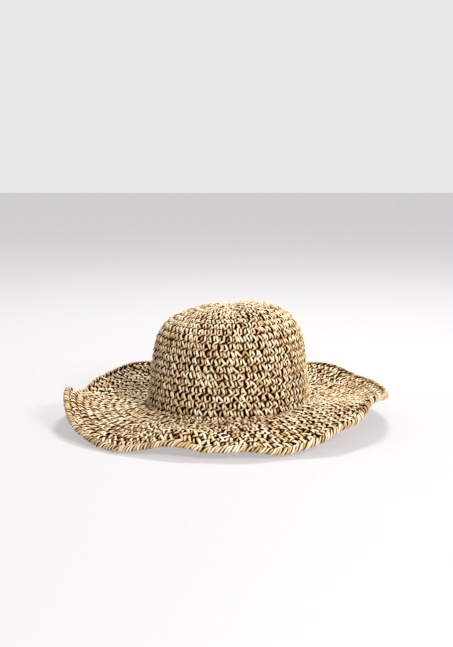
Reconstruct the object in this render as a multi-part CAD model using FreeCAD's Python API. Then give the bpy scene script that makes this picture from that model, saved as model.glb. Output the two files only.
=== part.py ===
"""Crocheted straw sun hat with a wide wavy brim, written as one STEP file per sub-part.

Frame: millimetres, +Z up through the crown, origin at the centre of the head opening where the
crown wall turns into the brim. The front of the hat faces -Y. Azimuths are in degrees,
anticlockwise seen from above, from +X: 0 is the wearer's left side, 90 the back, 270 the front.

The fabric is one crocheted sheet. Its brim is cut here along two straight fold lines, so that the
front and the back of the brim can hinge up and down as they do when a wearer turns the brim.
"""

import FreeCAD
import Part
import math
import os

from FreeCAD import Vector

# ---- Driving dimensions ------------------------------------------------------------------------
HEAD_RADIUS = 89.0  # inside of the sweatband: a 56 cm head
FABRIC = 4.4  # thickness of the crocheted sheet
EDGING_RADIUS = 4.5  # corded last round that runs along the brim's edge
EDGING_CORE = 2.2  # radius of the channel inside that round
EDGING_CLEARANCE = 0.5  # between the brim sheet and the corded round
WIRE_RADIUS = 0.9  # shaping wire in the channel
AZIMUTH_STEPS = 120  # poles round the hat in each ring surface

# Middle of the crown fabric, from where the brim starts to the rim of the tip: (radius, height).
WALL_BASE = (97.0, 4.0)
WALL_SHAPE = [WALL_BASE, (96.0, 20.0), (93.0, 44.0), (90.2, 66.0), (87.0, 86.0), (77.5, 103.0), (64.0, 111.6), (48.0, 118.0)]
TIP_RADIUS = 58.0  # rim of the crown tip, where the increase rounds end
TIP_HEIGHT = 121.8  # top of the tip's middle surface
TIP_DROP = 8.5  # how far the tip falls from its top to its rim
CREASE_DEPTH = 6.5  # soft front-to-back dent in the tip
CREASE_WIDTH = 12.0
CREASE_X = -3.0
LEAN_SHIFT = 4.5  # the tip sits this far to +X of the head opening
LEAN_TILT = 3.2  # and its rim is this much higher on that side

# The brim's radial sections at its crests and troughs: azimuth, height of the throat next to the
# crown, height a third of the way out, height two thirds out, then the radius and the height of the
# middle of the corded edge.
BRIM_SECTIONS = [
    (0, 2, 5, 4, 192, 14),
    (10, 0, 2, 3, 193, 12),
    (20, 0, 1, 3, 195, 13),
    (33, -1, 1, 2, 197, 12),
    (45, -1, 2, 5, 198, 19),
    (57, -1, 2, 5, 199, 17),
    (73, -2, 0, -1, 200, 3),
    (90, -3, -2, -9, 201, -14),
    (107, -2, 0, -1, 200, 3),
    (122, -1, 2, 5, 198, 18),
    (134, -1, 2, 5, 196, 20),
    (144, -1, 1, 2, 194, 14),
    (153, -1, 0, 1, 193, 11),
    (163, -1, -1, -6, 195, 1),
    (172, -2, -2, -6, 198, 8),
    (181, -2, -2, -6, 197, 18),
    (190, -2, -2, -6, 199, 18),
    (198, -2, -2, -6, 202, 12),
    (208, -2, -2, -7, 206, -2),
    (220, -3, -3, -9, 207, -12),
    (232, -3, -3, -7, 207, -16),
    (240, -3, -2, -2, 201, -12),
    (247, -3, -1, 0, 197, -6),
    (254, -3, -1, 0, 196, -4),
    (262, -2, 0, 0, 196, -9),
    (269, -1, 2, 1, 197, -8),
    (276, 0, 4, 2, 198, -7),
    (286, 1, 6, -1, 196, -13),
    (294, 1, 8, 2, 196, -10),
    (302, 2, 10, 4, 198, -3),
    (309, 4, 12, 6, 197, 6),
    (319, 7, 15, 7, 193, 8),
    (326, 8, 15, 9, 191, 20),
    (332, 7, 14, 10, 191, 25),
    (341, 5, 12, 9, 192, 21),
    (350, 3, 8, 6, 192, 17),
]
THIRD_RADIUS = 130.0
TWO_THIRDS_RADIUS = 174.0
PROFILE_POLES = 22  # poles of the finished radial profile
SEAM_START = 0.016  # where the brim sheet starts along its profile, just clear of the crown wall

# A short roll that stands up just inside the edge at the front, towards the wearer's right.
ROLL_HEIGHT = 17.5
ROLL_AZIMUTH = 254.0
ROLL_SPREAD = 10.0  # degrees either side
ROLL_RADIUS = 184.0
ROLL_WIDTH = 9.0

# Fold lines: straight hinge axes parallel to X across the front and the back of the brim.
FOLD_Y = 116.0
FOLD_GAP = 14.0  # room between the panels, so that they pass each other when the brim turns up

# Sweatband, sewn in along its lower hem, with a cord tunnel along its upper edge.
BAND_BOTTOM = 0.0
BAND_TOP = 30.0
BAND_THICKNESS = 1.0
HEM_WIDTH = 5.5
HEM_HEIGHT = 3.0
TUNNEL_SIDE = 3.0
CORD_RADIUS = 0.9
CORD_CHANNEL = 1.15
CORD_EXIT_HALF_WIDTH = 7.0  # opening in the tunnel at the back, where the cord comes out

# Cord lock: it slides on the two straight cord tails, tucked up against the crown at the back.
TAIL_Y = 79.0
TAIL_HALF_SPACING = 1.2
TAIL_START = 46.0
TAIL_END = 81.0
LOCK_CENTRE = 54.0
LOCK_RADIUS = 5.25
LOCK_BACK = -12.5
LOCK_FRONT = 8.0
PLUNGER_RADIUS = 3.5
PLUNGER_TRAVEL = 3.0

ORIGIN = Vector(0, 0, 0)
UP = Vector(0, 0, 1)
ACROSS = Vector(1, 0, 0)
FAR = 400.0  # larger than the hat, for cutting boxes


def polar(azimuth, radius, height):
    """Point at an azimuth in degrees, a radius and a height."""
    turn = math.radians(azimuth)
    return Vector(radius * math.cos(turn), radius * math.sin(turn), height)


def brim_section_at(azimuth):
    """Throat, third and two-thirds heights, edge radius and edge height of the brim at an azimuth.

    A smooth closed curve runs through each column of BRIM_SECTIONS.
    """
    turned = azimuth % 360.0
    count = len(BRIM_SECTIONS)
    low = max(i for i in range(count) if BRIM_SECTIONS[i][0] <= turned)
    around = []
    for i in range(low - 1, low + 3):
        lap = i // count
        section = BRIM_SECTIONS[i % count]
        around.append((section[0] + 360.0 * lap, *section[1:]))
    angles = [section[0] for section in around]
    gap = angles[2] - angles[1]
    share = (turned - angles[1]) / gap
    values = []
    for before, start, end, after in list(zip(*around))[1:]:
        start_slope = (end - before) / (angles[2] - angles[0]) * gap
        end_slope = (after - start) / (angles[3] - angles[1]) * gap
        bend = 3.0 * (end - start) - 2.0 * start_slope - end_slope
        twist = 2.0 * (start - end) + start_slope + end_slope
        values.append(start + share * (start_slope + share * (bend + share * twist)))
    return values


def edge_centre(azimuth):
    """Radius and height of the middle of the corded edge."""
    return brim_section_at(azimuth)[3:]


def brim_profile(azimuth):
    """Middle line of the brim fabric in its radial plane, as a curve in (radius, height)."""
    throat, third, two_thirds, edge_radius, edge_height = brim_section_at(azimuth)
    points = [
        WALL_BASE,
        (97.8, 0.0),
        (104.0, throat),
        (THIRD_RADIUS, third),
        (TWO_THIRDS_RADIUS, two_thirds),
        (edge_radius, edge_height),
    ]
    smooth = curve_from_poles([Vector(r, z, 0) for r, z in points])
    poles = [smooth.value(i / PROFILE_POLES) for i in range(PROFILE_POLES + 1)]
    for i in range(1, PROFILE_POLES):
        poles[i].y += roll_height(azimuth, poles[i].x)
    return curve_from_poles(poles)


def roll_height(azimuth, radius):
    """How far the roll lifts the brim at a place."""
    around = (azimuth - ROLL_AZIMUTH) / ROLL_SPREAD
    outward = (radius - ROLL_RADIUS) / ROLL_WIDTH
    return ROLL_HEIGHT * math.exp(-(around**4) - outward**2)


def curve_from_poles(poles):
    """Cubic curve pulled by its poles, starting at the first and ending at the last."""
    curve = Part.BSplineCurve()
    curve.buildFromPoles(poles, False, 3)
    return curve


def sheet_section(curve, start, end, steps):
    """Closed outline, as (radius, height) pairs, of a sheet of fabric laid along a profile curve."""
    outer, inner = [], []
    for i in range(steps + 1):
        at = start + (end - start) * i / steps
        point = curve.value(at)
        along = curve.tangent(at)[0]
        side = Vector(-along.y, along.x, 0) * (FABRIC / 2)
        outer.append((point.x + side.x, point.y + side.y))
        inner.append((point.x - side.x, point.y - side.y))
    # The ends are doubled, which keeps the corners of the sheet from rounding off.
    upper = [outer[0], *outer, outer[-1]]
    lower = [inner[-1], *reversed(inner), inner[0]]
    return upper + lower


def ring_solid(section_at, steps=AZIMUTH_STEPS):
    """Closed ring whose cross-section at each azimuth has the poles section_at returns."""
    azimuths = [360.0 * i / steps for i in range(steps)]
    shrink = (2.0 + math.cos(2.0 * math.pi / steps)) / 3.0  # a cubic ring runs inside its poles
    poles = [[polar(a, r / shrink, z) for r, z in section_at(a)] for a in azimuths]
    rows, columns = len(poles), len(poles[0])
    surface = Part.BSplineSurface()
    surface.buildFromPolesMultsKnots(
        poles,
        [1] * (rows + 1),
        [1] * (columns + 1),
        list(range(rows + 1)),
        list(range(columns + 1)),
        True,
        True,
        3,
        3,
    )
    solid = Part.Solid(Part.Shell([surface.toShape()]))
    if solid.Volume < 0:
        solid.reverse()
    return solid


def round_section(centre_at, radius, corners=8):
    """Section function for ring_solid: a circle round a moving centre."""
    reach = radius * 3.0 / (2.0 + math.cos(2.0 * math.pi / corners))

    def section(azimuth):
        r, z = centre_at(azimuth)
        turns = [2.0 * math.pi * i / corners for i in range(corners)]
        return [(r + reach * math.cos(t), z + reach * math.sin(t)) for t in turns]

    return section


def between(solid, y_low, y_high, x_low=-FAR, x_high=FAR):
    """The part of a solid that lies in an upright window."""
    window = Part.makeBox(x_high - x_low, y_high - y_low, 2 * FAR, Vector(x_low, y_low, -FAR))
    return solid.common(window)


def front_of_fold(solid):
    return between(solid, -FAR, -FOLD_Y - FOLD_GAP / 2)


def back_of_fold(solid):
    return between(solid, FOLD_Y + FOLD_GAP / 2, FAR)


def between_folds(solid, x_low=-FAR, x_high=FAR):
    reach = FOLD_Y - FOLD_GAP / 2
    return between(solid, -reach, reach, x_low, x_high)


def tip_height(x, y):
    """Height of the middle surface of the crown tip at a place measured from the tip's own axis."""
    out = math.hypot(x, y) / TIP_RADIUS
    dome = TIP_HEIGHT - TIP_DROP * (0.5 * out**2 + 0.5 * out**4)
    fade = max(0.0, 1.0 - out**2)
    crease = CREASE_DEPTH * math.exp(-(((x - CREASE_X) / CREASE_WIDTH) ** 2))
    return dome + LEAN_TILT * x / TIP_RADIUS - fade * crease


def crown_tip():
    """Domed disc worked in increase rounds: a sheet over a square grid, trimmed round."""
    reach = TIP_RADIUS + 4.0
    steps = 24
    grid = [-reach + 2 * reach * i / steps for i in range(steps + 1)]
    surface = Part.BSplineSurface()
    surface.interpolate([[Vector(x + LEAN_SHIFT, y, tip_height(x, y)) for y in grid] for x in grid])
    sheet = surface.toShape()
    sheet.translate(UP * (-FABRIC / 2))
    return sheet.extrude(UP * FABRIC).common(tip_cutter())


def tip_cutter():
    """Upright cylinder that parts the crown tip from the crown wall."""
    return Part.makeCylinder(TIP_RADIUS, FAR, Vector(LEAN_SHIFT, 0, 0), UP)


def leaning(azimuth, section):
    """Section of the crown wall moved towards +X and tilted, more and more towards the tip."""
    toward = math.cos(math.radians(azimuth))
    moved = []
    for radius, height in section:
        share = (height / TIP_HEIGHT) ** 4
        moved.append((radius + LEAN_SHIFT * share * toward, height + LEAN_TILT * share * toward))
    return moved


def crown_wall():
    """Side of the crown, from the tip's rim down to the brim."""
    curve = curve_from_poles([Vector(r, z, 0) for r, z in WALL_SHAPE])
    upright = sheet_section(curve, 0.0, 1.0, 12)
    return ring_solid(lambda azimuth: leaning(azimuth, upright)).cut(tip_cutter())


def brim_ring():
    """Whole brim sheet, from the crown wall to the corded edge."""

    def section(azimuth):
        curve = brim_profile(azimuth)
        edge = Vector(*edge_centre(azimuth), 0)
        end = 1.0
        while curve.value(end).distanceToPoint(edge) < EDGING_RADIUS + EDGING_CLEARANCE:
            end -= 0.002
        return sheet_section(curve, SEAM_START, end, 22)

    return ring_solid(section)


def edging_ring():
    """Corded last round with its channel for the wire."""
    cord = ring_solid(round_section(edge_centre, EDGING_RADIUS))
    return cord.cut(ring_solid(round_section(edge_centre, EDGING_CORE)))


def wire_ring():
    """Shaping wire down the middle of the corded edge."""
    return ring_solid(round_section(edge_centre, WIRE_RADIUS))


def wire_ferrule():
    """Crimped sleeve that joins the two ends of the wire at the back."""
    half_length = 8.0
    wall = ring_solid(round_section(edge_centre, 1.8)).cut(ring_solid(round_section(edge_centre, WIRE_RADIUS + 0.05)))
    window = Part.makeBox(2 * half_length, FAR, 2 * FAR, Vector(-half_length, FOLD_Y, -FAR))
    return wall.common(window)


def revolved(outline):
    """Solid of revolution about Z from a closed outline of (radius, height) pairs."""
    points = [Vector(r, 0, z) for r, z in outline]
    face = Part.Face(Part.makePolygon(points + points[:1]))
    return face.revolve(ORIGIN, UP, 360)


def tunnel_centre():
    """Radius and height of the middle of the cord tunnel."""
    return HEAD_RADIUS + TUNNEL_SIDE / 2, BAND_TOP - TUNNEL_SIDE / 2


def sweatband():
    """Cotton band: a thin wall with a turned-out hem below and a cord tunnel above."""
    inner, outer = HEAD_RADIUS, HEAD_RADIUS + BAND_THICKNESS
    hem_top = BAND_BOTTOM + HEM_HEIGHT
    tunnel_bottom = BAND_TOP - TUNNEL_SIDE
    outline = [
        (inner, BAND_BOTTOM),
        (inner + HEM_WIDTH, BAND_BOTTOM),
        (inner + HEM_WIDTH, hem_top),
        (outer, hem_top),
        (outer, tunnel_bottom),
        (inner + TUNNEL_SIDE, tunnel_bottom),
        (inner + TUNNEL_SIDE, BAND_TOP),
        (inner, BAND_TOP),
    ]
    radius, height = tunnel_centre()
    channel = Part.makeTorus(radius, CORD_CHANNEL, Vector(0, 0, height), UP)
    depth = BAND_TOP - tunnel_bottom
    half = CORD_EXIT_HALF_WIDTH
    cord_exit = Part.makeBox(2 * half, TUNNEL_SIDE * 3, depth, Vector(-half, inner - TUNNEL_SIDE, tunnel_bottom))
    return revolved(outline).cut(channel).cut(cord_exit)


def band_seam_tape():
    """Tape over the joint in the sweatband, on the side that faces the crown."""
    inner = HEAD_RADIUS + BAND_THICKNESS
    ring = revolved([(inner, 5.0), (inner + 0.6, 5.0), (inner + 0.6, 26.0), (inner, 26.0)])
    return ring.common(Part.makeBox(18.0, FAR, FAR, Vector(-9.0, 0, 0)))


def band_stitching():
    """Zigzag thread that lies under the hem and sews it to the crown, as separate straight stitches."""
    stitches = 120
    inner, outer, thread = HEAD_RADIUS + 0.7, HEAD_RADIUS + HEM_WIDTH - 0.5, 0.3
    height = BAND_BOTTOM - thread - 0.1
    pitch = 360.0 / stitches
    solids = []
    for i in range(stitches):
        start = polar(i * pitch + 0.3, inner if i % 2 else outer, height)
        end = polar((i + 1) * pitch - 0.3, outer if i % 2 else inner, height)
        solids.append(Part.makeCylinder(thread, start.distanceToPoint(end), start, end - start))
    return Part.makeCompound(solids)


def drawstring():
    """Cord that runs round in the tunnel, with both tails led up inside the crown at the back."""
    radius, height = tunnel_centre()
    exit_turn = math.asin(5.0 / radius)
    loop_ends = (math.pi / 2 + exit_turn, 5 * math.pi / 2 - exit_turn)
    loop = Part.ArcOfCircle(Part.Circle(Vector(0, 0, height), UP, radius), *loop_ends).toShape()
    rise_points = [
        Vector(radius * math.sin(exit_turn), radius * math.cos(exit_turn), height),
        Vector(2.9, radius - 1.0, height + 2.0),
        Vector(1.5, radius - 5.0, height + 6.5),
        Vector(TAIL_HALF_SPACING, TAIL_Y + 1.0, TAIL_START - 2.5),
        Vector(TAIL_HALF_SPACING, TAIL_Y, TAIL_START),
    ]
    leaving = Vector(-math.cos(exit_turn), math.sin(exit_turn), 0) * 6.0
    rise_curve = Part.BSplineCurve()
    rise_curve.interpolate(Points=rise_points, InitialTangent=leaving, FinalTangent=UP * 6.0)
    rise = rise_curve.toShape()
    tail = Part.LineSegment(rise_points[-1], Vector(TAIL_HALF_SPACING, TAIL_Y, TAIL_END)).toShape()
    mirrored = [edge.mirror(ORIGIN, ACROSS) for edge in (rise, tail)]
    path = Part.Wire(Part.sortEdges([loop, rise, tail, *mirrored])[0])
    profile = Part.Wire(Part.makeCircle(CORD_RADIUS, path.OrderedVertexes[0].Point, UP))
    return path.makePipeShell([profile], True, True)


def cord_stopper():
    """Bead that joins the two cord ends and keeps the lock on them."""
    length, radius, depth = 8.0, 3.4, 3.5
    bottom = TAIL_END - depth + 0.2
    bead = Part.makeCylinder(radius, length, Vector(0, TAIL_Y, bottom), UP)
    bead = bead.makeFillet(1.2, bead.Edges)
    for x in (-TAIL_HALF_SPACING, TAIL_HALF_SPACING):
        bead = bead.cut(Part.makeCylinder(CORD_RADIUS + 0.06, depth, Vector(x, TAIL_Y, bottom), UP))
    return bead


def lock_axis_cylinder(radius, start, end):
    """Cylinder along the cord lock's own axis, from one X to another."""
    return Part.makeCylinder(radius, end - start, Vector(start, TAIL_Y, LOCK_CENTRE), ACROSS)


def cord_window(x_low, x_high):
    """Upright slot through the lock for the two cord tails."""
    half_depth = CORD_RADIUS + 0.5
    corner = Vector(x_low, TAIL_Y - half_depth, LOCK_CENTRE - LOCK_RADIUS)
    return Part.makeBox(x_high - x_low, 2 * half_depth, 2 * LOCK_RADIUS, corner)


def lock_body():
    """Barrel of the cord lock, closed at one end and bored for the plunger from the other."""
    barrel = lock_axis_cylinder(LOCK_RADIUS, LOCK_BACK, LOCK_FRONT)
    barrel = barrel.makeFillet(1.0, barrel.Edges)
    bore = lock_axis_cylinder(PLUNGER_RADIUS + 0.08, LOCK_BACK + 1.5, LOCK_FRONT)
    half = TAIL_HALF_SPACING + CORD_RADIUS + 0.4
    return barrel.cut(bore).cut(cord_window(-half, half))


def lock_plunger():
    """Sprung plunger with its button. Its wall pinches the cord tails when it is released."""
    cord_edge = TAIL_HALF_SPACING + CORD_RADIUS
    stem_end = LOCK_FRONT + PLUNGER_TRAVEL + 0.2
    stem = lock_axis_cylinder(PLUNGER_RADIUS, -cord_edge - 1.8, stem_end)
    button = lock_axis_cylinder(PLUNGER_RADIUS + 1.2, stem_end, stem_end + 2.5)
    button = button.makeFillet(0.7, button.Edges)
    window = cord_window(-cord_edge - 0.15, cord_edge + PLUNGER_TRAVEL + 0.2)
    return stem.fuse(button).removeSplitter().cut(window)


def lock_spring():
    """Coil spring that pushes the plunger out."""
    wire, coil, turns = 0.3, 2.4, 5
    start = LOCK_BACK + 1.5 + wire + 0.05
    end = -TAIL_HALF_SPACING - CORD_RADIUS - 1.8 - wire - 0.05
    helix = Part.makeHelix((end - start) / turns, end - start, coil)
    profile = Part.Wire(Part.makeCircle(wire, Vector(coil, 0, 0), Vector(0, 1, 0)))
    spring = helix.makePipeShell([profile], True, True)
    spring.rotate(ORIGIN, Vector(0, 1, 0), 90)
    spring.translate(Vector(start, TAIL_Y, LOCK_CENTRE))
    return spring


def export(name, shape):
    """Writes one sub-part."""
    shape.exportStep(f"parts/{name}.step")


def main():
    os.makedirs("parts", exist_ok=True)
    export("crown_tip", crown_tip())
    wall = crown_wall()
    export("crown_wall", wall)
    brim = brim_ring().cut(wall)
    export("brim_front", front_of_fold(brim))
    export("brim_centre", between_folds(brim))
    export("brim_back", back_of_fold(brim))
    for name, ring in {"edging": edging_ring(), "edge_wire": wire_ring()}.items():
        export(f"{name}_front", front_of_fold(ring))
        export(f"{name}_left", between_folds(ring, x_low=0.0))
        export(f"{name}_right", between_folds(ring, x_high=0.0))
        export(f"{name}_back", back_of_fold(ring))
    export("wire_ferrule", wire_ferrule())
    export("sweatband", sweatband())
    export("sweatband_seam_tape", band_seam_tape())
    export("sweatband_stitching", band_stitching())
    export("drawstring", drawstring())
    export("cord_stopper", cord_stopper())
    export("lock_body", lock_body())
    export("lock_plunger", lock_plunger())
    export("lock_spring", lock_spring())


main()
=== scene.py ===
"""Looks for the crocheted straw sun hat: yarn, cords, cloth, moulded parts, floor, light and camera.

Every shape is measured from the CAD frame, so the yarn follows the crown, the brim and its edge.
Metres, +Z up through the crown, the front towards -Y. Azimuths run anticlockwise from +X.
"""

import math

import bpy
import numpy as np
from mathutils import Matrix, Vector
from mathutils.bvhtree import BVHTree


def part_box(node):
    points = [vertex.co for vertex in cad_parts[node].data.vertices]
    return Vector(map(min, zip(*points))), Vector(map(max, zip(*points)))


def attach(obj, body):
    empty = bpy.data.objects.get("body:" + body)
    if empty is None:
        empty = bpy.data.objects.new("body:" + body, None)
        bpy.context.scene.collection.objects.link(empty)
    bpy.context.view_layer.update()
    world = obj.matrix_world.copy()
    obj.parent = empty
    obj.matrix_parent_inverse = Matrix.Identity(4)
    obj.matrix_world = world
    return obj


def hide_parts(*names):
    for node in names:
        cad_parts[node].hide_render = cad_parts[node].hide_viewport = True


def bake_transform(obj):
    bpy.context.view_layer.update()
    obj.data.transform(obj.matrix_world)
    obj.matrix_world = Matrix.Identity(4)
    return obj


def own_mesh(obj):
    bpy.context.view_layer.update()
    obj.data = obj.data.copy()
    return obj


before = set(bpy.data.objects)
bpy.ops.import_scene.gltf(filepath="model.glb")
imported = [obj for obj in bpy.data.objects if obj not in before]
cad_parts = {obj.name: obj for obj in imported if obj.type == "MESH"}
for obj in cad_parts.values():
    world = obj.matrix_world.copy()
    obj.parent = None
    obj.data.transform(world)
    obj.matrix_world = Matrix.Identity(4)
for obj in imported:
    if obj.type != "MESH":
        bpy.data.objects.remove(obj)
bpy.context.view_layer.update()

MM = 0.001
TURN = 2.0 * math.pi
rng = np.random.default_rng(20)

# ---- Yarn and stitches, in millimetres ---------------------------------------------------------
STITCH = 9.2  # width of a stitch along its round, on the crown
ROUND = 8.5  # height of a round, on the crown
BRIM_STITCH = 10.0
TOP_STITCH = 0.62  # width of the stitches at the very top of the crown, as a share of the lowest ones'
BRIM_ROUND = 9.8
TIP_ROUNDS = 7  # rounds in the crown's top, where stitches are added
PIECE_ROUNDS = 4  # rounds in each separate piece of the rest
AZIMUTHS = 480  # places round the hat where the sheet is measured
PER_ROUND = 8  # places across each round where it is measured
STITCH_TONE = 0.53  # how light the straw is, from 0 to 1
TONE_SPREAD = 0.10  # and how much that differs between stitches, and between a stitch's strands
HOLE_PULL = 0.3  # how far each hole is drawn from the stitch before it towards its own stitch
LEAN = -0.25  # how far each round's holes are shifted from those before it, as a share of a stitch
LEG_WIDTH = 1.70  # half the width of the yarn in a stitch's two legs
LEG_THICKNESS = 1.25  # half its thickness
BURIED = 0.95  # yarn standing out less than this is in full shade
LIT_OVER = 2.4  # and it takes this much more to be fully lit
SUNK = 0.78  # how high the weak leg stands on the brim, as a share of its height on the crown
BRIM_START = 0.102  # radius in metres where the brim is first measured, just outside the crown's foot
CORD_ROOM = 2.6  # the last round ends this far from the middle of the corded edge
KNOT_PITCH = 8.0  # from one wrapped stitch of the corded edge to the next
KNOT_WRAP = 5.2  # how far it goes round the edge, in radians
# Its two strands: how far along the edge each is shifted and how far it runs, half its width, and
# its distance from the middle of the edge.
KNOT_STRANDS = ((-1.0, 14.5, 1.70, 2.6), (2.9, 12.0, 1.55, 2.85))
BAND_RADIUS = 89.0  # inside the sweatband

# A stitch's strands as (share of its width, share of the round's height, height off the sheet in
# millimetres), from the hole it is worked into, at 0, to the top of its own round, at 1.
STRONG_LEG = [
    (-0.08, -0.26, -1.6), (-0.02, -0.12, -0.5), (0.08, 0.08, 1.1), (0.28, 0.36, 2.4),
    (0.49, 0.66, 2.2), (0.67, 0.90, 0.3), (0.76, 1.08, -1.2),
]
WEAK_LEG = [
    (-0.14, -0.20, -1.6), (-0.18, -0.08, -0.4), (-0.20, 0.12, 1.0), (-0.15, 0.40, 2.1),
    (-0.06, 0.68, 1.7), (0.03, 0.90, 0.1), (0.08, 1.06, -1.3),
]
FRONT_LOOP = [
    (0.00, 1.24, -0.7), (0.18, 1.10, 0.9), (0.42, 0.92, 2.1), (0.66, 0.76, 1.5),
    (0.84, 0.62, -0.7),
]
BACK_LOOP = [
    (-0.56, 0.98, -0.7), (-0.3, 1.03, -1.2), (0.0, 1.06, -1.4), (0.3, 1.03, -1.2),
    (0.56, 0.98, -0.7),
]
BACK_POST = [
    (0.02, -0.15, -0.5), (0.10, 0.15, -1.2), (0.20, 0.5, -1.4), (0.26, 0.85, -1.2),
    (0.3, 1.05, -0.5),
]
BACK_BAR = [
    (-0.56, 0.56, -0.7), (-0.28, 0.50, -1.5), (0.0, 0.48, -1.9), (0.28, 0.46, -1.5),
    (0.56, 0.42, -0.7),
]
# Each strand with its count of points and sides, and half its width and thickness.
STITCH_PLAN = [
    (STRONG_LEG, 12, 8, LEG_WIDTH, LEG_THICKNESS),
    (WEAK_LEG, 12, 8, LEG_WIDTH * 0.92, LEG_THICKNESS),
    (FRONT_LOOP, 8, 7, 1.35, 1.0),
    (BACK_LOOP, 7, 6, 1.6, 1.0),
    (BACK_POST, 6, 6, 2.4, 1.0),
    (BACK_BAR, 7, 6, 3.0, 1.0),
]


# ---- Measuring the frame -----------------------------------------------------------------------
def cad_arrays(*names):
    """Vertices and polygons of some CAD nodes together."""
    vertices, polygons = [], []
    for name in names:
        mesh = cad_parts[name].data
        base = len(vertices)
        vertices.extend(v.co.copy() for v in mesh.vertices)
        polygons.extend(tuple(base + i for i in p.vertices) for p in mesh.polygons)
    return vertices, polygons


def cad_edges(*names):
    """Both ends of every mesh edge of some CAD nodes, as two arrays."""
    starts, ends = [], []
    for name in names:
        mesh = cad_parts[name].data
        co = np.array([v.co for v in mesh.vertices], float)
        edges = np.array([e.vertices[:] for e in mesh.edges], int)
        starts.append(co[edges[:, 0]])
        ends.append(co[edges[:, 1]])
    return np.concatenate(starts), np.concatenate(ends)


def middle_hit(tree, start, direction, reach):
    """Point half-way through the first sheet along a ray and the first one on the way back."""
    near = tree.ray_cast(start, direction, reach)[0]
    far = tree.ray_cast(start + direction * reach, -direction, reach)[0]
    if near is None or far is None:
        return None
    return (near + far) / 2.0


def edge_centres():
    """Radius and height of the middle of the corded edge at every azimuth."""
    starts, ends = cad_edges("edging_front", "edging_left", "edging_right", "edging_back")
    angle_a, angle_b = (np.arctan2(p[:, 1], p[:, 0]) for p in (starts, ends))
    radius_a, radius_b = (np.hypot(p[:, 0], p[:, 1]) for p in (starts, ends))
    known, radii, heights = [], [], []
    for i in range(AZIMUTHS):
        azimuth = i * TURN / AZIMUTHS + 1e-5
        a = (angle_a - azimuth + math.pi) % TURN - math.pi
        b = (angle_b - azimuth + math.pi) % TURN - math.pi
        crossing = (a * b < 0) & (np.abs(a - b) < 1.0)
        if crossing.sum() < 6:
            continue
        share = a[crossing] / (a[crossing] - b[crossing])
        radius = radius_a[crossing] + share * (radius_b[crossing] - radius_a[crossing])
        height = starts[crossing, 2] + share * (ends[crossing, 2] - starts[crossing, 2])
        if radius.max() - radius.min() < 7.5 * MM:
            continue
        known.append(i)
        radii.append((radius.max() + radius.min()) / 2)
        heights.append((height.max() + height.min()) / 2)
    where = np.arange(AZIMUTHS)
    return [smooth_round(np.interp(where, known, row, period=AZIMUTHS), 3) for row in (radii, heights)]


def smooth_round(values, passes):
    """Evens out a closed row of numbers."""
    for _ in range(passes):
        values = 0.25 * np.roll(values, 1, 0) + 0.5 * values + 0.25 * np.roll(values, -1, 0)
    return values


def fill_gaps(radii, heights):
    """Heights with the missing ones bridged by smooth cubic spans."""
    known = np.flatnonzero(~np.isnan(heights))
    slopes = np.gradient(heights[known], radii[known])
    filled = heights.copy()
    for left, right in zip(known[:-1], known[1:]):
        if right - left == 1:
            continue
        span = radii[right] - radii[left]
        before, after = np.searchsorted(known, left), np.searchsorted(known, right)
        slope_a = slopes[before - 1] if before > 0 else slopes[before]
        slope_b = slopes[min(after + 1, len(slopes) - 1)]
        for i in range(left + 1, right):
            t = (radii[i] - radii[left]) / span
            filled[i] = (
                heights[left] * (1 + 2 * t) * (1 - t) ** 2
                + heights[right] * t * t * (3 - 2 * t)
                + span * (slope_a * t * (1 - t) ** 2 - slope_b * t * t * (1 - t))
            )
    return filled


def crown_profiles():
    """Middle line of the crown at every azimuth, from its top to its base, as (radius, height)."""
    tree = BVHTree.FromPolygons(*cad_arrays("crown_tip", "crown_wall"))
    eye = Vector((0.0, 0.0, 0.045))
    sweep = np.radians(np.linspace(89.5, -23.0, 110))
    profiles = []
    for i in range(AZIMUTHS):
        azimuth = i * TURN / AZIMUTHS
        profile = []
        for rise in sweep:
            flat = math.cos(rise)
            ray = Vector((flat * math.cos(azimuth), flat * math.sin(azimuth), math.sin(rise)))
            hit = middle_hit(tree, eye, ray, 0.2)
            if hit is not None:
                profile.append((math.hypot(hit.x, hit.y), hit.z))
        profiles.append(np.array(profile))
    return profiles


def brim_profiles(edge_radius, edge_height):
    """Middle line of the brim at every azimuth, from beside the crown to the corded edge."""
    tree = BVHTree.FromPolygons(*cad_arrays("brim_front", "brim_centre", "brim_back"))
    down = Vector((0.0, 0.0, -1.0))
    profiles = []
    for i in range(AZIMUTHS):
        azimuth = i * TURN / AZIMUTHS
        last = edge_radius[i] - 7.5 * MM
        radii = np.append(np.linspace(BRIM_START, last, 40), edge_radius[i])
        heights = np.full(len(radii), np.nan)
        heights[-1] = edge_height[i]
        for j, radius in enumerate(radii[:-1]):
            start = Vector((radius * math.cos(azimuth), radius * math.sin(azimuth), 0.1))
            hit = middle_hit(tree, start, down, 0.2)
            if hit is not None:
                heights[j] = hit.z
        profiles.append(np.stack([radii, fill_gaps(radii, heights)], 1))
    return profiles


def distances(line):
    """How far along a polyline each of its points is."""
    return np.concatenate([[0.0], np.cumsum(np.linalg.norm(np.diff(line, axis=0), axis=1))])


def resample(line, count):
    """A polyline at evenly spaced places along its length."""
    travelled = distances(line)
    wanted = np.linspace(0.0, travelled[-1], count)
    return np.stack([np.interp(wanted, travelled, line[:, k]) for k in range(line.shape[1])], 1)


def length_of(line):
    return float(np.linalg.norm(np.diff(line, axis=0), axis=1).sum())


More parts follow.
